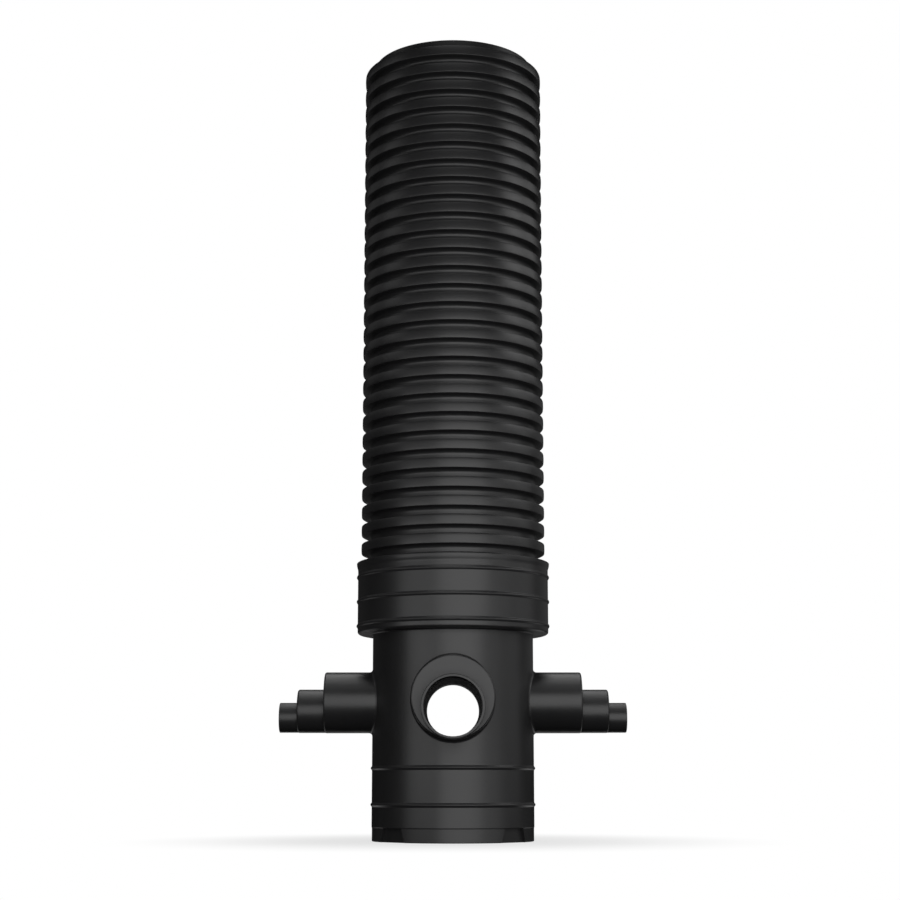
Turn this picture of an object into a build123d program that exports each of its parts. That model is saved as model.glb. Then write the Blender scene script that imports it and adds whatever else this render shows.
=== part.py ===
from build123d import *
import os

# Catchpit chamber in black polyethylene, all sizes in millimetres.
# Z is up, the ground is at Z = 0 and the chamber's axis is the Z axis.
# The outlet points along -Y, the main inlet along +Y and the side inlets along -X and +X.

# Moulded chamber base
body_od = 600.0
wall = 9.0
floor_thickness = 12.0
body_height = 757.0  # from the ground to the underside of the shelf

# The lowest band of the body is a little narrower than the rest
skirt_height = 48.0
skirt_inset = 1.5

# Strengthening beads round the body and round the socket
bead_height = 15.0
bead_flat = 5.0
bead_proud = 4.5
body_bead_pitch = 132.0
body_bead_count = 2
socket_bead_first = 30.5  # above the underside of the shelf
socket_bead_pitch = 91.5
socket_bead_count = 3

# Socket that takes the riser pipe
socket_depth = 267.0
socket_clearance = 2.5  # all round the ribs of the riser
lip_height = 31.0
lip_proud = 5.0
lip_slope_height = 17.0
lip_rim = 3.0  # thickness that is left at the very top

# Four flat pockets in the foot, open downwards
pocket_angle = 48.0  # either side of the outlet, and of the main inlet
pocket_bottom_width = 130.0
pocket_top_width = 100.0
pocket_height = 51.0
pocket_depth = 17.5

# Stepped spigots: standard pipe sizes, with one underside level to each spigot
port_od = 300.0
spigot_od_large = 225.0
spigot_od_medium = 160.0
spigot_od_small = 110.0
port_length = 82.0  # beyond the side of the body
port_spigot_length = 95.0
side_large_length = 177.0  # beyond the side of the body
side_medium_length = 100.0
side_small_length = 67.5
outlet_level = 358.0  # underside of the outlet above the ground
inlet_fall = 21.0  # main inlet above the outlet
side_fall = 34.0  # side inlets above the outlet
stage_rise = 1.0  # underside of each stage above that of the one before
spigot_reach_in = 150.0  # where the bars of a spigot start, short of the body's wall

# Corrugated twin-wall riser pipe
riser_bore = 600.0
riser_wall = 9.0  # where the two walls meet between the ribs
riser_length = 2234.0
rib_od = 693.0
rib_pitch = 69.2
rib_width = 38.0

# Rubber ring seal in a groove of the riser
seal_groove = 3  # counted from the lower end of the riser
seal_clearance = 0.3
seal_lead_in = 12.0
seal_lead_in_width = 6.0

# Places worked out from the sizes above
body_r = body_od / 2
body_bore_r = body_r - wall
rib_r = rib_od / 2
groove_r = riser_bore / 2 + riser_wall
groove_width = rib_pitch - rib_width
rib_count = int(riser_length / rib_pitch)
socket_bore_r = rib_r + socket_clearance
socket_r = socket_bore_r + wall
riser_seat = body_height + wall
socket_top = riser_seat + socket_depth
inlet_level = outlet_level + inlet_fall
side_level = outlet_level + side_fall


def body_bead_heights():
    return [body_bead_pitch * (i + 1) for i in range(body_bead_count)]


def socket_bead_heights():
    return [body_height + socket_bead_first + socket_bead_pitch * i for i in range(socket_bead_count)]


def ring(points):
    """A solid turned about the Z axis from a closed outline of (radius, height) points."""
    with BuildPart() as turned:
        with BuildSketch(Plane.XZ):
            with BuildLine():
                Polyline(*points, close=True)
            make_face()
        revolve(axis=Axis.Z)
    return turned.part


def bead_points(radius, height):
    """Outline of one bead on a wall, from its lower to its upper edge."""
    return [
        (radius, height - bead_height / 2),
        (radius + bead_proud, height - bead_flat / 2),
        (radius + bead_proud, height + bead_flat / 2),
        (radius, height + bead_height / 2),
    ]


def base_outside():
    """Foot, body, shelf and socket of the base as one full turned form."""
    skirt_r = body_r - skirt_inset
    points = [(0, 0), (skirt_r, 0), (skirt_r, skirt_height), (body_r, skirt_height)]
    for height in body_bead_heights():
        points += bead_points(body_r, height)
    points += [(body_r, body_height), (socket_r, body_height)]
    for height in socket_bead_heights():
        points += bead_points(socket_r, height)
    lip_r = socket_r + lip_proud
    points += [
        (socket_r, socket_top - lip_height),
        (lip_r, socket_top - lip_height),
        (lip_r, socket_top - lip_slope_height),
        (socket_bore_r + lip_rim, socket_top),
        (0, socket_top),
    ]
    return ring(points)


def base_inside():
    """The sump and the bore of the socket."""
    over = socket_top + wall
    return ring([
        (0, floor_thickness),
        (body_bore_r, floor_thickness),
        (body_bore_r, riser_seat),
        (socket_bore_r, riser_seat),
        (socket_bore_r, over),
        (0, over),
    ])


def pocket(spare):
    """The four foot pockets, each grown by a spare thickness on its sides, top and back."""
    back = body_r - skirt_inset - pocket_depth - spare
    height = pocket_height + spare
    half_bottom = pocket_bottom_width / 2 + spare
    half_top = pocket_top_width / 2 + spare
    with BuildPart() as pockets:
        for side in (-1, 1):
            for turn in (0, 180):
                angle = turn - 90 + side * pocket_angle
                plane = Plane.XZ.rotated((0, 0, angle + 90)).offset(back)
                with BuildSketch(plane):
                    with BuildLine():
                        Polyline(
                            (-half_bottom, 0),
                            (half_bottom, 0),
                            (half_top, height),
                            (-half_top, height),
                            close=True,
                        )
                    make_face()
                extrude(amount=body_r - back + wall)
    return pockets.part


def stage(direction, radius, level, start, end):
    """A round bar along a level direction, its underside at the given level."""
    plane = Plane(origin=(direction[0] * start, direction[1] * start, level + radius), z_dir=(*direction, 0))
    return extrude(plane * Circle(radius), amount=end - start)


def spigot(direction, level, sizes):
    """Outside and inside of a stepped spigot; sizes are (outside diameter, length) from the body outwards."""
    outside = []
    inside = []
    reach = body_r
    start = body_bore_r - spigot_reach_in
    for i, (diameter, length) in enumerate(sizes):
        reach += length
        last = i == len(sizes) - 1
        underside = level + stage_rise * i
        bore_end = reach + wall if last else reach - wall
        outside.append(stage(direction, diameter / 2, underside, start, reach))
        inside.append(stage(direction, diameter / 2 - wall, underside + wall, start, bore_end))
        start = reach - wall
    return outside, inside


def chamber_base():
    """The moulded base: sump, socket, four stepped spigots and pocketed foot in one piece."""
    port_sizes = [(port_od, port_length), (spigot_od_large, port_spigot_length)]
    side_sizes = [
        (spigot_od_large, side_large_length),
        (spigot_od_medium, side_medium_length),
        (spigot_od_small, side_small_length),
    ]
    spigots = [
        spigot((0, -1), outlet_level, port_sizes),
        spigot((0, 1), inlet_level, port_sizes),
        spigot((-1, 0), side_level, side_sizes),
        spigot((1, 0), side_level, side_sizes),
    ]
    solid = base_outside() - pocket(0)
    hollow = base_inside() - pocket(wall)
    for outside, inside in spigots:
        solid = solid.fuse(*outside)
        hollow = hollow.fuse(*inside)
    return solid - hollow


def riser_pipe():
    """The corrugated riser, cut to length between two ribs, with its lower end on the shelf."""
    points = [(riser_bore / 2, 0), (groove_r, 0)]
    for i in range(rib_count):
        middle = rib_pitch * (i + 0.5)
        low = middle - rib_width / 2
        high = middle + rib_width / 2
        points += [(groove_r, low), (rib_r, low), (rib_r, high), (groove_r, high)]
    points += [(groove_r, riser_length), (riser_bore / 2, riser_length)]
    return Pos(0, 0, riser_seat) * ring(points)


def riser_seal():
    """The ring seal that closes the gap between a groove of the riser and the socket."""
    half = groove_width / 2 - seal_clearance
    inner = groove_r + seal_clearance
    outer = socket_bore_r - seal_clearance
    middle = riser_seat + rib_pitch * seal_groove
    return ring([
        (inner, middle - half),
        (outer - seal_lead_in_width, middle - half),
        (outer, middle - half + seal_lead_in),
        (outer, middle + half),
        (inner, middle + half),
    ])


def main():
    os.makedirs("parts", exist_ok=True)
    pieces = {
        "chamber_base": chamber_base(),
        "riser_pipe": riser_pipe(),
        "riser_seal": riser_seal(),
    }
    for name, piece in pieces.items():
        export_step(piece, os.path.join("parts", name + ".step"))


main()
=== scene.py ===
import math

import bmesh
import bpy
from mathutils import Matrix, Vector


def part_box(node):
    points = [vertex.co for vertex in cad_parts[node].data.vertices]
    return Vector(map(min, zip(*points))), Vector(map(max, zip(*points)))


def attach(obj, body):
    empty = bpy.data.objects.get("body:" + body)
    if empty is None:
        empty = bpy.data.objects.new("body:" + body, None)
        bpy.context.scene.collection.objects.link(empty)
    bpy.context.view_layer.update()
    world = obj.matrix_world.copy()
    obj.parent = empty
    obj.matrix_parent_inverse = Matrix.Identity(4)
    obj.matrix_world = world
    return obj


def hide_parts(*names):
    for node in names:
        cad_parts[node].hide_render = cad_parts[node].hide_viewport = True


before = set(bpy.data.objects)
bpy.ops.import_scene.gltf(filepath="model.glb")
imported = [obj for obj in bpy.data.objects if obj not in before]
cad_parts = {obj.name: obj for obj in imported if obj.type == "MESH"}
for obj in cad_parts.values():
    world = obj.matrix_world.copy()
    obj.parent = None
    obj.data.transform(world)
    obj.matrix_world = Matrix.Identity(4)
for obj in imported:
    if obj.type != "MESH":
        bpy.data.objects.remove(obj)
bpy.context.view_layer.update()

bl_info = {
    "name": "Catchpit Chamber",
    "version": (1, 0, 0),
    "blender": (4, 5, 0),
    "location": "View3D > Sidebar > Catchpit",
    "description": "Dresses the catchpit chamber: moulded base, corrugated riser, ring seal and stage",
    "category": "Add Mesh",
}

# All lengths are in metres. Z is up, the outlet points along -Y and the main inlet along +Y.
UP = Vector((0.0, 0.0, 1.0))
OUTLET = Vector((0.0, -1.0, 0.0))
MAIN_INLET = Vector((0.0, 1.0, 0.0))
SIDE_INLETS = (Vector((-1.0, 0.0, 0.0)), Vector((1.0, 0.0, 0.0)))

# Points closer than this are the same point
SAME_POINT = 1e-5

# How far a stage reaches into the end wall of the one before, and its bore into the bore before
OUTER_LAP = 0.008
INNER_LAP = 0.002

# Where the rings of a spigot's root start, how far apart they are, and how far the first is buried
ROOT_RINGS = 9
ROOT_RING_GAP = 0.002
ROOT_BURIED = 0.006
ROOT_SUNK = 0.00015

# Facets round the base, each stage of a spigot, the riser and the seal
BASE_SEGMENTS = 192
STAGE_SEGMENTS = (96, 88, 72)
RISER_SEGMENTS = 112
SEAL_SEGMENTS = 160

# A rounding has one facet for each step of this length, within these limits
ROUNDING_STEP = 0.0015
FEWEST_STEPS = 2
MOST_STEPS = 6

# Roundings of the base, and the slope above the band at its foot
FOOT_ROUND = 0.003
SKIRT_SLOPE = 0.004
SKIRT_ROUND = 0.0015
BEAD_ROOT_ROUND = 0.0020
BEAD_EDGE_ROUND = 0.0022
SHELF_INNER_ROUND = 0.006
SHELF_OUTER_ROUND = 0.010
LIP_UNDER_ROUND = 0.0040
LIP_FACE_ROUND = 0.0050
LIP_TOP_ROUND = 0.0022
LIP_LEAN = 0.0010
FLOOR_ROUND = 0.008
SEAT_ROUND = 0.002

# Plain rings that divide the tall walls of the body: the lowest and how many
BODY_RINGS = (0.30, 11)
BORE_RINGS = (0.05, 9)
SHELF_MARGIN = 0.02

# Roundings of the seal
SEAL_LEAD_ROUND = 0.0015
SEAL_SHOULDER_ROUND = 0.0020
SEAL_LIP_ROUND = 0.0008
SEAL_TOP_ROUND = 0.0012

# Upright soft panels: degrees round from the front, lowest and highest edge, width, brightness
PANELS = {
    "key_under": (11.0, -0.6, 0.0, 4.6, 1.98),
    "key_low": (11.0, 0.0, 1.3, 4.6, 1.6),
    "key_high": (11.0, 1.3, 2.6, 4.6, 1.66),
    "left_low": (-44.0, 0.0, 1.3, 3.0, 1.35),
    "left_high": (-44.0, 1.3, 2.6, 3.0, 0.48),
    "left_above": (-80.0, 2.6, 4.4, 2.0, 0.55),
    "left_back": (-120.0, 2.6, 4.4, 2.4, 0.15),
    "right_under": (57.0, -0.6, 0.0, 1.8, 1.04),
    "right_low": (57.0, 0.0, 1.3, 1.8, 0.61),
    "right_high": (57.0, 1.3, 2.6, 1.8, 0.6),
    "right_side": (90.0, 0.0, 1.3, 2.4, 0.36),
    "right_side_high": (90.0, 1.3, 2.6, 2.4, 0.52),
    "right_above": (80.0, 2.6, 4.4, 2.0, 1.77),
    "right_back": (112.0, 2.6, 4.4, 2.0, 0.75),
    "back_left": (-138.0, 0.4, 2.6, 2.6, 0.03),
    "back_right": (138.0, 0.4, 2.6, 2.6, 0.12),
    "back": (180.0, 0.4, 2.6, 2.8, 0.08),
    "back_left_under": (-135.0, -2.1, -0.7, 3.2, 0.5),
    "back_right_under": (135.0, -2.1, -0.7, 3.2, 0.6),
    "back_under": (180.0, -2.1, -0.7, 3.2, 0.5),
}

# Square panels overhead: place along Y, height, brightness
OVERHEAD = {
    "top_front": (-2.6, 5.6, 0.56),
    "top": (0.0, 6.5, 1.70),
    "top_back": (2.6, 5.6, 1.69),
}
OVERHEAD_SIZE = 3.0
OVERHEAD_TARGET = (0.0, 0.0, 1.5)

# A dark drum that only reflections see
SCREEN_RADIUS = 6.5
SCREEN_TOP = 9.0
SCREEN_FOOT = -3.0

# The floor's own glow under the object, and where it fades into the white round it
FLOOR_SIZE = 60.0
FLOOR_GLOW = 0.7
FADE_START = 0.4
FADE_END = 1.3

# Surfaces that meet at less than this angle are shaded as one
SMOOTH_ANGLE = math.radians(32.0)

# The frame's own places
base_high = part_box("chamber_base")[1]
riser_low, riser_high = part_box("riser_pipe")
seal_low, seal_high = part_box("riser_seal")


def length(name, default, description):
    """A size in metres that a user can change."""
    return bpy.props.FloatProperty(
        name=name, default=default, description=description, unit="LENGTH", subtype="DISTANCE"
    )


def colour(name, default, description):
    """A plain colour that a user can change."""
    return bpy.props.FloatVectorProperty(
        name=name, default=default, description=description, subtype="COLOR", size=3, min=0.0, max=1.0
    )


def share(name, default, description):
    """A number from 0 to 1 that a user can change."""
    return bpy.props.FloatProperty(
        name=name, default=default, description=description, subtype="FACTOR", min=0.0, max=1.0
    )


def amount(name, default, description):
    """A plain number that a user can change."""
    return bpy.props.FloatProperty(name=name, default=default, description=description)


class CATCHPIT_PG_base(bpy.types.PropertyGroup):
    """Sizes of the moulded base."""

    body_radius: length("Body radius", 0.300, "Outside radius of the sump")
    wall: length("Wall", 0.009, "Thickness of the moulded wall")
    floor: length("Floor", 0.012, "Thickness of the floor")
    body_height: length("Body height", 0.757, "Ground to the underside of the shelf")
    skirt_height: length("Skirt height", 0.048, "Height of the slightly narrower band at the foot")
    skirt_inset: length("Skirt inset", 0.0015, "How far the band at the foot steps in")
    bead_height: length("Bead height", 0.015, "Height of a strengthening bead")
    bead_proud: length("Bead", 0.0045, "How far a bead stands proud of the wall")
    bead_pitch: length("Body bead pitch", 0.132, "From the ground to a body bead and on to the next")
    socket_bead_first: length("First socket bead", 0.0305, "Shelf to the lowest bead of the socket")
    socket_bead_pitch: length("Socket bead pitch", 0.0915, "From one bead of the socket to the next")
    socket_radius: length("Socket radius", 0.358, "Outside radius of the socket")
    lip_height: length("Lip height", 0.0345, "Mouth of the socket down to the lower edge of its lip")
    lip_proud: length("Lip", 0.005, "How far the lip stands proud of the socket")
    lip_drop: length("Lip drop", 0.0098, "Mouth of the socket down to the upper edge of its lip")
    pocket_bottom: length("Pocket bottom", 0.130, "Width of a foot pocket at the ground")
    pocket_top: length("Pocket top", 0.100, "Width of a foot pocket at its top")
    pocket_height: length("Pocket height", 0.051, "Height of a foot pocket")
    pocket_depth: length("Pocket depth", 0.0175, "Depth of a foot pocket")
    pocket_angle: amount("Pocket angle", 48.0, "Degrees from a foot pocket to the outlet or main inlet")


class CATCHPIT_PG_spigots(bpy.types.PropertyGroup):
    """Sizes of the stepped spigots."""

    port_radius: length("Port radius", 0.150, "Outside radius of the first stage of outlet and inlet")
    large_radius: length("Large radius", 0.1125, "Outside radius of a large stage")
    medium_radius: length("Medium radius", 0.080, "Outside radius of a medium stage")
    small_radius: length("Small radius", 0.055, "Outside radius of a small stage")
    port_length: length("Port length", 0.082, "Length of the first stage of outlet and inlet")
    end_length: length("End length", 0.095, "Length of the large stage of outlet and inlet")
    side_large: length("Side large length", 0.177, "Length of the large stage of a side inlet")
    side_medium: length("Side medium length", 0.100, "Length of the medium stage of a side inlet")
    side_small: length("Side small length", 0.0675, "Length of the small stage of a side inlet")
    outlet_level: length("Outlet level", 0.358, "Underside of the outlet above the ground")
    inlet_fall: length("Inlet fall", 0.021, "Main inlet above the outlet")
    side_fall: length("Side fall", 0.034, "Side inlets above the outlet")
    stage_rise: length("Stage rise", 0.001, "Underside of each stage above the one before")
    root_round: length("Root rounding", 0.012, "Radius where a spigot leaves the body")
    end_round: length("End rounding", 0.007, "Radius of the closed end of a stage")
    rim_round: length("Rim rounding", 0.003, "Radius of the open rim of a spigot")


class CATCHPIT_PG_riser(bpy.types.PropertyGroup):
    """Sizes of the corrugated riser."""

    wall: length("Liner wall", 0.009, "Wall between the ribs")
    rib_pitch: length("Rib pitch", 0.0692, "From one rib to the next")
    rib_width: length("Rib width", 0.038, "Width of a rib")
    rib_crown: length("Rib crown", 0.0008, "How far the middle of a rib's face stands above its edges")
    rib_draft: length("Rib draft", 0.0012, "How far a rib's flank leans in from root to crest")
    crest_round: length("Crest rounding", 0.0022, "Radius of a rib's outer edges")
    root_round: length("Root rounding", 0.0140, "Radius under a rib, where it leaves the liner wall")
    root_round_above: length("Upper root rounding", 0.0070, "Radius above a rib, where it meets the wall")


class CATCHPIT_PG_seal(bpy.types.PropertyGroup):
    """Sizes of the ring seal."""

    clearance: length("Clearance", 0.0003, "Room all round the seal")
    lead_in: length("Lead-in height", 0.012, "Height over which the seal slopes in at its lower edge")
    lead_in_width: length("Lead-in width", 0.006, "How far it slopes in there")
    lip_groove: length("Lip groove", 0.0024, "Depth of the groove between the seal's two lips")
    inner_round: length("Inner rounding", 0.0148, "Radius of the edges that lie in the groove of the riser")


class CATCHPIT_PG_finish(bpy.types.PropertyGroup):
    """Colours of the plastics and the rubber."""

    moulded: colour("Moulded plastic", (0.018, 0.018, 0.0186), "Black of the moulded base")
    extruded: colour("Extruded plastic", (0.018, 0.018, 0.0186), "Black of the corrugated riser")
    rubber: colour("Rubber", (0.014, 0.014, 0.014), "Black of the ring seal")
    gloss: share("Gloss", 0.60, "Specular level of the plastics")
    roughness: share("Roughness", 0.36, "Roughness of the plastics")


class CATCHPIT_PG_stage(bpy.types.PropertyGroup):
    """Floor, lamps and camera."""

    floor: colour("Floor", (0.90, 0.90, 0.90), "Pale colour of the floor as the camera sees it")
    light_level: amount("Light level", 1.05, "Scales all the soft panels together")
    panel_distance: length("Panel distance", 4.0, "Chamber's axis to the upright soft panels")
    camera_distance: length("Camera distance", 6.697, "Chamber's axis to the camera")
    camera_height: length("Camera height", 0.1965, "Ground to the camera")
    camera_pitch: amount("Camera pitch", 10.72, "Degrees by which the camera looks up")
    camera_lens: amount("Lens", 71.16, "Focal length in millimetres on a 36 mm frame")
    camera_shift: amount("Shift", -0.0033, "Sideways shift that puts the axis where it is in the picture")


# Mesh tools


def select_nothing():
    """Leave edit mode with nothing selected."""
    if bpy.context.object and bpy.context.object.mode != "OBJECT":
        bpy.ops.object.mode_set(mode="OBJECT")
    bpy.ops.object.select_all(action="DESELECT")


def edit(obj):
    """Edit one object alone."""
    select_nothing()
    obj.select_set(True)
    bpy.context.view_layer.objects.active = obj
    bpy.ops.object.mode_set(mode="EDIT")


def draw_outline(name, points):
    """A mesh drawn as by hand: one vertex, extruded from point to point."""
    select_nothing()
    bpy.ops.mesh.primitive_plane_add(size=1.0)
    obj = bpy.context.object
    obj.name = name
    obj.data.name = name
    bpy.context.tool_settings.mesh_select_mode = (True, False, False)
    bpy.ops.object.mode_set(mode="EDIT")
    bpy.ops.mesh.select_all(action="SELECT")
    bpy.ops.mesh.merge(type="CENTER")
    bpy.ops.transform.translate(value=points[0])
    for before, after in zip(points, points[1:]):
        bpy.ops.mesh.extrude_region_move(TRANSFORM_OT_translate={"value": after - before})
    return obj


def round_ring(obj, centre, axis, radius, place, rounding, steps):
    """Bevel the ring of edges at a radius from an axis and a place along it."""
    mesh = bmesh.from_edit_mesh(obj.data)

    def on_ring(vertex):
        along = (vertex.co - centre).dot(axis)
        out = (vertex.co - centre - axis * along).length
        return abs(along - place) < SAME_POINT and abs(out - radius) < SAME_POINT

    bpy.ops.mesh.select_all(action="DESELECT")
    for edge in mesh.edges:
        edge.select_set(all(on_ring(vertex) for vertex in edge.verts))
    bmesh.update_edit_mesh(obj.data)
    bpy.ops.mesh.bevel(offset=rounding, segments=steps, affect="EDGES")


def turned(name, corners, segments, centre=Vector((0.0, 0.0, 0.0)), axis=UP):
    """A solid turned from (radius, place, rounding) corners; a ring's last corner is its first again."""
    side = Vector((1.0, 0.0, 0.0)) if axis == UP else UP
    obj = draw_outline(name, [centre + axis * place + side * radius for radius, place, _ in corners])
    bpy.ops.mesh.select_all(action="SELECT")
    bpy.ops.mesh.spin(steps=segments, angle=math.tau, center=centre, axis=axis)
    bpy.ops.mesh.select_all(action="SELECT")
    bpy.ops.mesh.remove_doubles(threshold=SAME_POINT)
    bpy.ops.mesh.normals_make_consistent(inside=False)
    bpy.context.tool_settings.mesh_select_mode = (False, True, False)
    for radius, place, rounding in corners:
        if rounding:
            steps = max(FEWEST_STEPS, min(MOST_STEPS, round(rounding / ROUNDING_STEP)))
            round_ring(obj, centre, axis, radius, place, rounding, steps)
    bpy.ops.object.mode_set(mode="OBJECT")
    return obj


def combine(obj, tool, operation):
    """Join a tool to an object, or cut the object with it. The tool is used up."""
    select_nothing()
    bpy.context.view_layer.objects.active = obj
    boolean = obj.modifiers.new("Combine", "BOOLEAN")
    boolean.operation = operation
    boolean.solver = "EXACT"
    boolean.object = tool
    bpy.ops.object.modifier_apply(modifier=boolean.name)
    bpy.data.objects.remove(tool)


def finish_mesh(obj):
    """Clean a finished mesh and shade it smoothly over its roundings, with its walls true."""
    edit(obj)
    bpy.ops.mesh.select_all(action="SELECT")
    bpy.ops.mesh.remove_doubles(threshold=SAME_POINT)
    bpy.ops.mesh.normals_make_consistent(inside=False)
    bpy.ops.object.mode_set(mode="OBJECT")
    bpy.ops.object.shade_smooth_by_angle(angle=SMOOTH_ANGLE)
    weighted = obj.modifiers.new("Large faces first", "WEIGHTED_NORMAL")
    weighted.mode = "FACE_AREA"
    weighted.keep_sharp = True
    bpy.ops.object.modifier_apply(modifier=weighted.name)


# Moulded base


def spread(low, high, count):
    """Evenly spaced places between two places, without the ends."""
    return [low + (high - low) * (i + 1) / (count + 1) for i in range(count)]


def bead(sizes, radius, height):
    """Corners of one rounded bead on a wall, from below upwards."""
    half = sizes.bead_height / 2
    flat = sizes.bead_height / 6
    proud = radius + sizes.bead_proud
    return [
        (radius, height - half, BEAD_ROOT_ROUND),
        (proud, height - flat, BEAD_EDGE_ROUND),
        (proud, height + flat, BEAD_EDGE_ROUND),
        (radius, height + half, BEAD_ROOT_ROUND),
    ]


def base_outside(sizes):
    """Foot, body, shelf and socket as one full turned form."""
    body = sizes.body_radius
    skirt = body - sizes.skirt_inset
    socket = sizes.socket_radius
    lip = socket + sizes.lip_proud
    top = base_high.z
    corners = [(0.0, 0.0, 0.0), (skirt, 0.0, FOOT_ROUND)]
    corners += [(skirt, sizes.skirt_height, 0.0), (body, sizes.skirt_height + SKIRT_SLOPE, SKIRT_ROUND)]
    corners += bead(sizes, body, sizes.bead_pitch) + bead(sizes, body, sizes.bead_pitch * 2)
    lowest, count = BODY_RINGS
    corners += [(body, height, 0.0) for height in spread(lowest, sizes.body_height - SHELF_MARGIN, count)]
    corners += [
        (body, sizes.body_height, SHELF_INNER_ROUND),
        (socket, sizes.body_height, SHELF_OUTER_ROUND),
    ]
    for i in range(3):
        height = sizes.body_height + sizes.socket_bead_first + sizes.socket_bead_pitch * i
        corners += bead(sizes, socket, height)
    lip_top = top - sizes.lip_drop
    corners += [
        (socket, top - sizes.lip_height, LIP_UNDER_ROUND),
        (lip - LIP_LEAN, (top - sizes.lip_height + lip_top) / 2, LIP_FACE_ROUND),
        (lip, lip_top, LIP_TOP_ROUND),
        (0.0, lip_top, 0.0),
    ]
    return turned("chamber_shell", corners, BASE_SEGMENTS)


def base_inside(sizes):
    """The sump, the seat of the riser and the bore of the socket."""
    bore = sizes.body_radius - sizes.wall
    socket_bore = sizes.socket_radius - sizes.wall
    over = base_high.z + sizes.wall
    lowest, count = BORE_RINGS
    corners = [(0.0, sizes.floor, 0.0), (bore, sizes.floor, FLOOR_ROUND)]
    corners += [(bore, height, 0.0) for height in spread(lowest, sizes.body_height - SHELF_MARGIN, count)]
    corners += [(bore, riser_low.z, SEAT_ROUND), (socket_bore, riser_low.z, SEAT_ROUND)]
    corners += [(socket_bore, over, 0.0), (0.0, over, 0.0)]
    return turned("cavity", corners, BASE_SEGMENTS)


def foot_pocket(sizes, angle, spare):
    """One flat-backed foot pocket as a cutter, grown by a spare thickness."""
    back = sizes.body_radius - sizes.skirt_inset - sizes.pocket_depth - spare
    bottom = sizes.pocket_bottom / 2 + spare
    top = sizes.pocket_top / 2 + spare
    height = sizes.pocket_height + spare
    under = -sizes.wall
    turn = Matrix.Rotation(math.radians(angle), 3, "Z")
    flare = bottom + (bottom - top) * -under / height
    points = [(-flare, under), (flare, under), (top, height), (-top, height)]
    obj = draw_outline("foot_pocket", [turn @ Vector((back, across, up)) for across, up in points])
    bpy.ops.mesh.select_all(action="SELECT")
    bpy.ops.mesh.edge_face_add()
    outwards = turn @ Vector((sizes.pocket_depth + spare + 4 * sizes.wall, 0.0, 0.0))
    bpy.ops.mesh.extrude_region_move(TRANSFORM_OT_translate={"value": outwards})
    bpy.ops.mesh.select_all(action="SELECT")
    bpy.ops.mesh.normals_make_consistent(inside=False)
    bpy.ops.object.mode_set(mode="OBJECT")
    return obj


def pocket_angles(sizes):
    """Directions of the four foot pockets, in degrees from +X."""
    return [turn + side * sizes.pocket_angle for turn in (-90.0, 90.0) for side in (-1, 1)]


def place_root(obj, direction, centre, radius, body_radius, rounding, rings):
    """Lay the first rings of a spigot along the rolling ball between it and the body."""
    ball = body_radius + rounding - ROOT_SUNK
    across = UP.cross(direction)
    for vertex in obj.data.vertices:
        offset = vertex.co - centre
        along = offset.dot(direction)
        for ring, place in enumerate(rings):
            if abs(along - place) < SAME_POINT:
                around = offset - direction * along
                if around.length < SAME_POINT:
                    continue
                around.normalize()
                sideways = around.dot(across) * (radius + rounding)
                middle = around * (radius + rounding) + direction * math.sqrt(ball ** 2 - sideways ** 2)
                to_spigot = -around
                to_body = -(middle - UP * middle.dot(UP)).normalized()
                if ring == 0:
                    vertex.co = centre + middle + to_body * (rounding + ROOT_BURIED)
                else:
                    share_of_arc = (ring - 1) / (len(rings) - 2)
                    vertex.co = centre + middle + to_body.slerp(to_spigot, share_of_arc) * rounding


def stage_bar(spigots, direction, level, radius, start, end, rounding, segments, body_radius=None):
    """One round stage; with a body radius, its root flows into the body."""
    centre = UP * (level + radius)
    rings = [start + ROOT_RING_GAP * i for i in range(ROOT_RINGS)] if body_radius else [start]
    corners = [(0.0, start, 0.0)]
    corners += [(radius, place, 0.0) for place in rings]
    corners += [(radius, end, rounding), (0.0, end, 0.0)]
    obj = turned("stage", corners, segments, centre, direction)
    if body_radius:
        place_root(obj, direction, centre, radius, body_radius, spigots.root_round, rings)
    return obj


def spigot(sizes, spigots, direction, level, stages):
    """Outer and inner bars of a stepped spigot; stages are (radius, length) from the body outwards."""
    outer = []
    inner = []
    reach = sizes.body_radius
    outer_start = sizes.body_radius / 2
    inner_start = outer_start
    for i, (radius, stage_length) in enumerate(stages):
        reach += stage_length
        underside = level + spigots.stage_rise * i
        last = i == len(stages) - 1
        rounding = spigots.rim_round if last else spigots.end_round
        flows_from = None if i else sizes.body_radius
        segments = STAGE_SEGMENTS[i]
        outer.append(stage_bar(
            spigots, direction, underside, radius, outer_start, reach, rounding, segments, flows_from))
        bore_end = reach + sizes.wall if last else reach - sizes.wall
        inner.append(stage_bar(
            spigots, direction, underside + sizes.wall, radius - sizes.wall, inner_start, bore_end, 0.0,
            segments))
        outer_start = reach - OUTER_LAP
        inner_start = reach - sizes.wall - INNER_LAP
    return outer, inner


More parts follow.
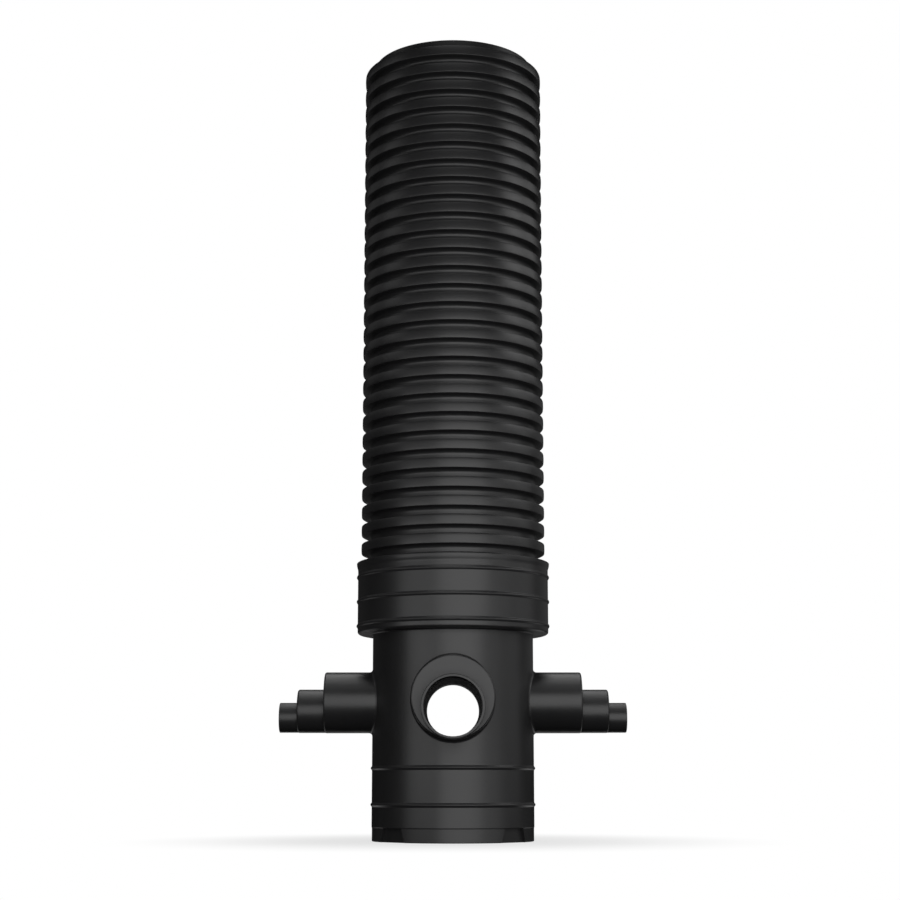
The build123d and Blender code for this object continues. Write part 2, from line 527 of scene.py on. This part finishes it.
class CATCHPIT_OT_make_shell(bpy.types.Operator):
    """Model the moulded base with its socket, spigots and foot pockets"""

    bl_idname = "catchpit.make_shell"
    bl_label = "Make moulded base"

    def execute(self, context):
        sizes = context.scene.catchpit_base
        spigots = context.scene.catchpit_spigots
        port = [(spigots.port_radius, spigots.port_length), (spigots.large_radius, spigots.end_length)]
        side = [
            (spigots.large_radius, spigots.side_large),
            (spigots.medium_radius, spigots.side_medium),
            (spigots.small_radius, spigots.side_small),
        ]
        runs = [
            (OUTLET, spigots.outlet_level, port),
            (MAIN_INLET, spigots.outlet_level + spigots.inlet_fall, port),
        ]
        runs += [(direction, spigots.outlet_level + spigots.side_fall, side) for direction in SIDE_INLETS]
        shell = base_outside(sizes)
        cavity = base_inside(sizes)
        for angle in pocket_angles(sizes):
            combine(cavity, foot_pocket(sizes, angle, sizes.wall), "DIFFERENCE")
        for direction, level, stages in runs:
            outer, inner = spigot(sizes, spigots, direction, level, stages)
            for bar in outer:
                combine(shell, bar, "UNION")
            for bar in inner:
                combine(cavity, bar, "UNION")
        for angle in pocket_angles(sizes):
            combine(shell, foot_pocket(sizes, angle, 0.0), "DIFFERENCE")
        combine(shell, cavity, "DIFFERENCE")
        finish_mesh(shell)
        shell.data.materials.clear()
        shell.data.materials.append(moulded_plastic(context.scene.catchpit_finish))
        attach(shell, "root")
        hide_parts("chamber_base")
        return {"FINISHED"}


# Corrugated riser


class CATCHPIT_OT_make_riser(bpy.types.Operator):
    """Model the corrugated riser from one rib, repeated along its length"""

    bl_idname = "catchpit.make_riser"
    bl_label = "Make corrugated riser"

    def execute(self, context):
        sizes = context.scene.catchpit_riser
        crest = riser_high.x
        bore = context.scene.catchpit_base.body_radius
        groove = bore + sizes.wall
        count = int((riser_high.z - riser_low.z) / sizes.rib_pitch)
        low = riser_low.z + (sizes.rib_pitch - sizes.rib_width) / 2
        high = low + sizes.rib_width
        middle = (low + high) / 2
        half_face = sizes.rib_width / 2 - sizes.rib_draft
        crown = [
            (crest - sizes.rib_crown * step ** 2, middle + step * half_face, 0.0)
            for step in (-0.5, -0.25, 0.0, 0.25, 0.5)
        ]
        corners = [
            (groove, riser_low.z, 0.0),
            (groove, low, sizes.root_round),
            (crest - sizes.rib_crown, low + sizes.rib_draft, sizes.crest_round),
            *crown,
            (crest - sizes.rib_crown, high - sizes.rib_draft, sizes.crest_round),
            (groove, high, sizes.root_round_above),
            (groove, riser_low.z + sizes.rib_pitch, 0.0),
        ]
        riser = turned("riser_corrugated", corners, RISER_SEGMENTS)
        array = riser.modifiers.new("Ribs", "ARRAY")
        array.use_relative_offset = False
        array.use_constant_offset = True
        array.constant_offset_displace = (0.0, 0.0, sizes.rib_pitch)
        array.count = count
        array.use_merge_vertices = True
        array.merge_threshold = SAME_POINT
        select_nothing()
        bpy.context.view_layer.objects.active = riser
        bpy.ops.object.modifier_apply(modifier=array.name)
        self.close_ends(riser, bore, groove, riser_low.z + sizes.rib_pitch * count)
        finish_mesh(riser)
        riser.data.materials.clear()
        riser.data.materials.append(extruded_plastic(context.scene.catchpit_finish))
        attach(riser, "root")
        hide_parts("riser_pipe")
        return {"FINISHED"}

    @staticmethod
    def close_ends(riser, bore, groove, top_rib_end):
        """Run the last groove up to the cut end, then turn both ends in and line the bore."""
        edit(riser)
        bpy.context.tool_settings.mesh_select_mode = (True, False, False)
        mesh = bmesh.from_edit_mesh(riser.data)
        bpy.ops.mesh.select_all(action="DESELECT")
        for vertex in mesh.verts:
            vertex.select_set(abs(vertex.co.z - top_rib_end) < SAME_POINT)
        mesh.select_flush_mode()
        bmesh.update_edit_mesh(riser.data)
        bpy.ops.mesh.extrude_region_move(
            TRANSFORM_OT_translate={"value": (0.0, 0.0, riser_high.z - top_rib_end)})
        turn_in = bore / groove
        bpy.ops.mesh.extrude_region_move()
        bpy.ops.transform.resize(
            value=(turn_in, turn_in, 1.0), center_override=(0.0, 0.0, riser_high.z))
        bpy.ops.mesh.extrude_region_move(
            TRANSFORM_OT_translate={"value": (0.0, 0.0, riser_low.z - riser_high.z)})
        bpy.ops.mesh.select_all(action="DESELECT")
        mesh = bmesh.from_edit_mesh(riser.data)
        bpy.context.tool_settings.mesh_select_mode = (False, True, False)
        for edge in mesh.edges:
            edge.select_set(edge.is_boundary)
        bmesh.update_edit_mesh(riser.data)
        bpy.ops.mesh.bridge_edge_loops()
        bpy.ops.object.mode_set(mode="OBJECT")


# Ring seal


class CATCHPIT_OT_make_seal(bpy.types.Operator):
    """Model the rubber ring seal in its groove of the riser"""

    bl_idname = "catchpit.make_seal"
    bl_label = "Make ring seal"

    def execute(self, context):
        sizes = context.scene.catchpit_seal
        low = seal_low.z
        high = seal_high.z
        middle = (low + high) / 2
        outer = seal_high.x
        groove = context.scene.catchpit_base.body_radius + context.scene.catchpit_riser.wall
        inner = groove + sizes.clearance
        corners = [
            (inner, low, sizes.inner_round),
            (outer - sizes.lead_in_width, low, SEAL_LEAD_ROUND),
            (outer, low + sizes.lead_in, SEAL_SHOULDER_ROUND),
            (outer, middle + sizes.lip_groove * 0.5, SEAL_LIP_ROUND),
            (outer - sizes.lip_groove, middle + sizes.lip_groove * 1.5, SEAL_LIP_ROUND),
            (outer, middle + sizes.lip_groove * 2.5, SEAL_LIP_ROUND),
            (outer, high, SEAL_TOP_ROUND),
            (inner, high, sizes.inner_round),
            (inner, low, 0.0),
        ]
        seal = turned("ring_seal", corners, SEAL_SEGMENTS)
        finish_mesh(seal)
        seal.data.materials.clear()
        seal.data.materials.append(rubber(context.scene.catchpit_finish))
        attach(seal, "root")
        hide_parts("riser_seal")
        return {"FINISHED"}


# Finishes


class Value:
    """A shader socket that takes part in plain arithmetic."""

    def __init__(self, finish, socket):
        self.finish = finish
        self.socket = socket

    def maths(self, operation, first, second):
        return self.finish.node("ShaderNodeMath", {"operation": operation}, {0: first, 1: second})

    def __add__(self, other):
        return self.maths("ADD", self, other)

    def __radd__(self, other):
        return self.maths("ADD", other, self)

    def __mul__(self, other):
        return self.maths("MULTIPLY", self, other)

    def __rmul__(self, other):
        return self.maths("MULTIPLY", other, self)


class Finish:
    """A material or a world and the nodes that make it."""

    def __init__(self, owner):
        owner.use_nodes = True
        self.owner = owner
        self.tree = owner.node_tree
        self.tree.nodes.clear()

    def node(self, kind, settings=None, inputs=None, output=0):
        """Add a node, set it up, then give or link its inputs, and return one of its outputs."""
        made = self.tree.nodes.new(kind)
        for key, value in (settings or {}).items():
            setattr(made, key, value)
        for key, value in (inputs or {}).items():
            if isinstance(value, Value):
                self.tree.links.new(value.socket, made.inputs[key])
            else:
                made.inputs[key].default_value = value
        if not made.outputs:
            return None
        return Value(self, made.outputs[output])


def wave_noise(finish, place, scale, stretch=(1.0, 1.0, 1.0), detail=2.0):
    """Noise on object coordinates, stretched along an axis by a smaller scale there."""
    mapped = finish.node("ShaderNodeMapping", None, {"Vector": place, "Scale": stretch})
    return finish.node("ShaderNodeTexNoise", None, {"Vector": mapped, "Scale": scale, "Detail": detail})


def tint_at(tint, level):
    """A colour made darker or lighter, with full alpha."""
    return [part * level for part in tint] + [1.0]


def plastic(name, tint, settings, grain, streaks, streak_stretch, streak_relief):
    """Black polyethylene: faint cloudiness, a fine skin and the marks of its making."""
    finish = Finish(bpy.data.materials.new(name))
    place = finish.node("ShaderNodeTexCoord", output="Object")
    cloud = wave_noise(finish, place, 4.0, detail=3.0)
    skin = wave_noise(finish, place, grain)
    marks = wave_noise(finish, place, streaks, streak_stretch, 3.0)
    shade = finish.node(
        "ShaderNodeMix", {"data_type": "RGBA"},
        {0: 0.6 * cloud + 0.4 * marks, 6: tint_at(tint, 0.85), 7: tint_at(tint, 1.2)}, output=2)
    rough = settings.roughness - 0.06 + 0.08 * cloud + 0.04 * marks
    relief = skin + streak_relief * marks
    normal = finish.node(
        "ShaderNodeBump", None, {"Strength": 0.10, "Distance": 0.0004, "Height": relief})
    shader = finish.node("ShaderNodeBsdfPrincipled", None, {
        "Base Color": shade,
        "Roughness": rough,
        "Specular IOR Level": settings.gloss,
        "Normal": normal,
    })
    finish.node("ShaderNodeOutputMaterial", None, {"Surface": shader})
    return finish.owner


def moulded_plastic(settings):
    """The base's moulded skin, with a slight orange peel."""
    return plastic(
        "moulded_polyethylene", settings.moulded, settings,
        grain=260.0, streaks=40.0, streak_stretch=(1.0, 1.0, 0.35), streak_relief=0.5)


def extruded_plastic(settings):
    """The riser's extruded skin, with faint marks that run round it."""
    return plastic(
        "extruded_polyethylene", settings.extruded, settings,
        grain=320.0, streaks=30.0, streak_stretch=(0.4, 0.4, 3.0), streak_relief=0.0)


def rubber(settings):
    """Dull black rubber of the ring seal."""
    finish = Finish(bpy.data.materials.new("seal_rubber"))
    place = finish.node("ShaderNodeTexCoord", output="Object")
    bloom = wave_noise(finish, place, 25.0, detail=4.0)
    skin = wave_noise(finish, place, 500.0)
    shade = finish.node(
        "ShaderNodeMix", {"data_type": "RGBA"},
        {0: bloom, 6: tint_at(settings.rubber, 0.8), 7: tint_at(settings.rubber, 1.5)}, output=2)
    normal = finish.node("ShaderNodeBump", None, {"Strength": 0.2, "Distance": 0.0003, "Height": skin})
    shader = finish.node("ShaderNodeBsdfPrincipled", None, {
        "Base Color": shade,
        "Roughness": 0.62 + 0.12 * bloom,
        "Specular IOR Level": 0.3,
        "Normal": normal,
    })
    finish.node("ShaderNodeOutputMaterial", None, {"Surface": shader})
    return finish.owner


# Stage


def seen_directly(finish):
    """1 where the camera looks, straight, in a mirror or through glass, and 0 for other light."""
    straight = finish.node("ShaderNodeLightPath", output="Is Camera Ray")
    mirrored = finish.node("ShaderNodeLightPath", output="Is Glossy Ray")
    through = finish.node("ShaderNodeLightPath", output="Is Transmission Ray")
    return through.maths("MAXIMUM", straight.maths("MAXIMUM", straight, mirrored), through)


def soft_panel(name, place, target, width, height, brightness):
    """A rectangular soft light that points at a target; a brightness of 1 looks white."""
    select_nothing()
    bpy.ops.object.light_add(type="AREA", location=place)
    lamp = bpy.context.object
    lamp.name = name
    lamp.data.shape = "RECTANGLE"
    lamp.data.size = width
    lamp.data.size_y = height
    lamp.data.energy = brightness * math.pi * width * height
    lamp.rotation_euler = (Vector(target) - Vector(place)).to_track_quat("-Z", "Y").to_euler()
    lamp.visible_camera = False


def hang_lamps(settings):
    """Upright soft panels round the object, and square ones overhead."""
    for name, (azimuth, low, high, width, brightness) in PANELS.items():
        angle = math.radians(azimuth)
        middle = (low + high) / 2
        across = settings.panel_distance * math.sin(angle)
        forward = -settings.panel_distance * math.cos(angle)
        soft_panel(
            name, (across, forward, middle), (0.0, 0.0, middle), width, high - low,
            brightness * settings.light_level)
    for name, (forward, height, brightness) in OVERHEAD.items():
        soft_panel(
            name, (0.0, forward, height), OVERHEAD_TARGET, OVERHEAD_SIZE, OVERHEAD_SIZE,
            brightness * settings.light_level)


def seen_only_in_gloss(obj):
    """Make an object dark and let it shape reflections and nothing else."""
    finish = Finish(bpy.data.materials.new(obj.name))
    black = finish.node("ShaderNodeBsdfDiffuse", None, {"Color": (0.0, 0.0, 0.0, 1.0)})
    finish.node("ShaderNodeOutputMaterial", None, {"Surface": black})
    obj.data.materials.append(finish.owner)
    obj.visible_camera = False
    obj.visible_diffuse = False
    obj.visible_transmission = False
    obj.visible_volume_scatter = False
    obj.visible_shadow = False


def hang_dark_screen():
    """A dark drum round the whole set keeps the white backdrop out of the black plastic."""
    select_nothing()
    bpy.ops.mesh.primitive_cylinder_add(
        vertices=48, radius=SCREEN_RADIUS, depth=SCREEN_TOP - SCREEN_FOOT,
        location=(0.0, 0.0, (SCREEN_TOP + SCREEN_FOOT) / 2))
    bpy.context.object.name = "dark_screen"
    seen_only_in_gloss(bpy.context.object)


def lay_floor(settings):
    """A wide pale floor that fades to white, keeps the shadow and throws no light back."""
    select_nothing()
    bpy.ops.mesh.primitive_plane_add(size=FLOOR_SIZE)
    floor = bpy.context.object
    floor.name = "studio_floor"
    finish = Finish(bpy.data.materials.new("studio_floor"))
    place = finish.node("ShaderNodeTexCoord", output="Object")
    away = finish.node("ShaderNodeVectorMath", {"operation": "LENGTH"}, {0: place}, output=1)
    far = finish.node(
        "ShaderNodeMapRange", {"interpolation_type": "SMOOTHSTEP"},
        {"Value": away, "From Min": FADE_START, "From Max": FADE_END, "To Min": 0.0, "To Max": 1.0})
    pale = finish.node("ShaderNodeBsdfDiffuse", None, {"Color": list(settings.floor) + [1.0]})
    white = finish.node("ShaderNodeEmission", None, {"Color": (1.0, 1.0, 1.0, 1.0)})
    near = finish.node("ShaderNodeMixShader", None, {0: 1.0 - FLOOR_GLOW, 1: white, 2: pale})
    mixed = finish.node("ShaderNodeMixShader", None, {0: far, 1: near, 2: white})
    finish.node("ShaderNodeOutputMaterial", None, {"Surface": mixed})
    floor.data.materials.append(finish.owner)
    floor.visible_diffuse = False
    floor.visible_glossy = False
    floor.visible_shadow = False


def light_world():
    """A world that is white to look at and gives no light of its own."""
    world = bpy.data.worlds.new("studio")
    bpy.context.scene.world = world
    finish = Finish(world)
    sky = finish.node(
        "ShaderNodeBackground", None, {"Color": (1.0, 1.0, 1.0, 1.0), "Strength": seen_directly(finish)})
    finish.node("ShaderNodeOutputWorld", None, {"Surface": sky})


def stand_camera(settings):
    """The camera stands low in front and looks up, as in the picture."""
    select_nothing()
    bpy.ops.object.camera_add(
        location=(0.0, -settings.camera_distance, settings.camera_height),
        rotation=(math.radians(90.0 + settings.camera_pitch), 0.0, 0.0),
    )
    camera = bpy.context.object
    camera.name = "front_camera"
    camera.data.lens = settings.camera_lens
    camera.data.sensor_width = 36.0
    camera.data.sensor_fit = "HORIZONTAL"
    camera.data.shift_x = settings.camera_shift
    bpy.context.scene.camera = camera


class CATCHPIT_OT_set_stage(bpy.types.Operator):
    """Lay the floor, hang the lamps and stand the camera"""

    bl_idname = "catchpit.set_stage"
    bl_label = "Set stage"

    def execute(self, context):
        settings = context.scene.catchpit_stage
        context.scene.view_settings.view_transform = "Standard"
        lay_floor(settings)
        light_world()
        hang_lamps(settings)
        hang_dark_screen()
        stand_camera(settings)
        return {"FINISHED"}


class CATCHPIT_PT_panel(bpy.types.Panel):
    """Lists the pieces and their sizes."""

    bl_label = "Catchpit Chamber"
    bl_idname = "CATCHPIT_PT_panel"
    bl_space_type = "VIEW_3D"
    bl_region_type = "UI"
    bl_category = "Catchpit"

    def draw(self, context):
        for operator in OPERATORS:
            self.layout.operator(operator.bl_idname)
        for name, group in GROUPS.items():
            box = self.layout.box()
            settings = getattr(context.scene, name)
            for prop in group.__annotations__:
                box.prop(settings, prop)


GROUPS = {
    "catchpit_base": CATCHPIT_PG_base,
    "catchpit_spigots": CATCHPIT_PG_spigots,
    "catchpit_riser": CATCHPIT_PG_riser,
    "catchpit_seal": CATCHPIT_PG_seal,
    "catchpit_finish": CATCHPIT_PG_finish,
    "catchpit_stage": CATCHPIT_PG_stage,
}

OPERATORS = (
    CATCHPIT_OT_make_shell,
    CATCHPIT_OT_make_riser,
    CATCHPIT_OT_make_seal,
    CATCHPIT_OT_set_stage,
)


def register():
    for name, group in GROUPS.items():
        bpy.utils.register_class(group)
        setattr(bpy.types.Scene, name, bpy.props.PointerProperty(type=group))
    for operator in OPERATORS:
        bpy.utils.register_class(operator)
    bpy.utils.register_class(CATCHPIT_PT_panel)


def unregister():
    bpy.utils.unregister_class(CATCHPIT_PT_panel)
    for operator in reversed(OPERATORS):
        bpy.utils.unregister_class(operator)
    for name, group in reversed(list(GROUPS.items())):
        delattr(bpy.types.Scene, name)
        bpy.utils.unregister_class(group)


def main():
    register()
    bpy.ops.catchpit.make_shell()
    bpy.ops.catchpit.make_riser()
    bpy.ops.catchpit.make_seal()
    bpy.ops.catchpit.set_stage()


if __name__ == "__main__":
    main()
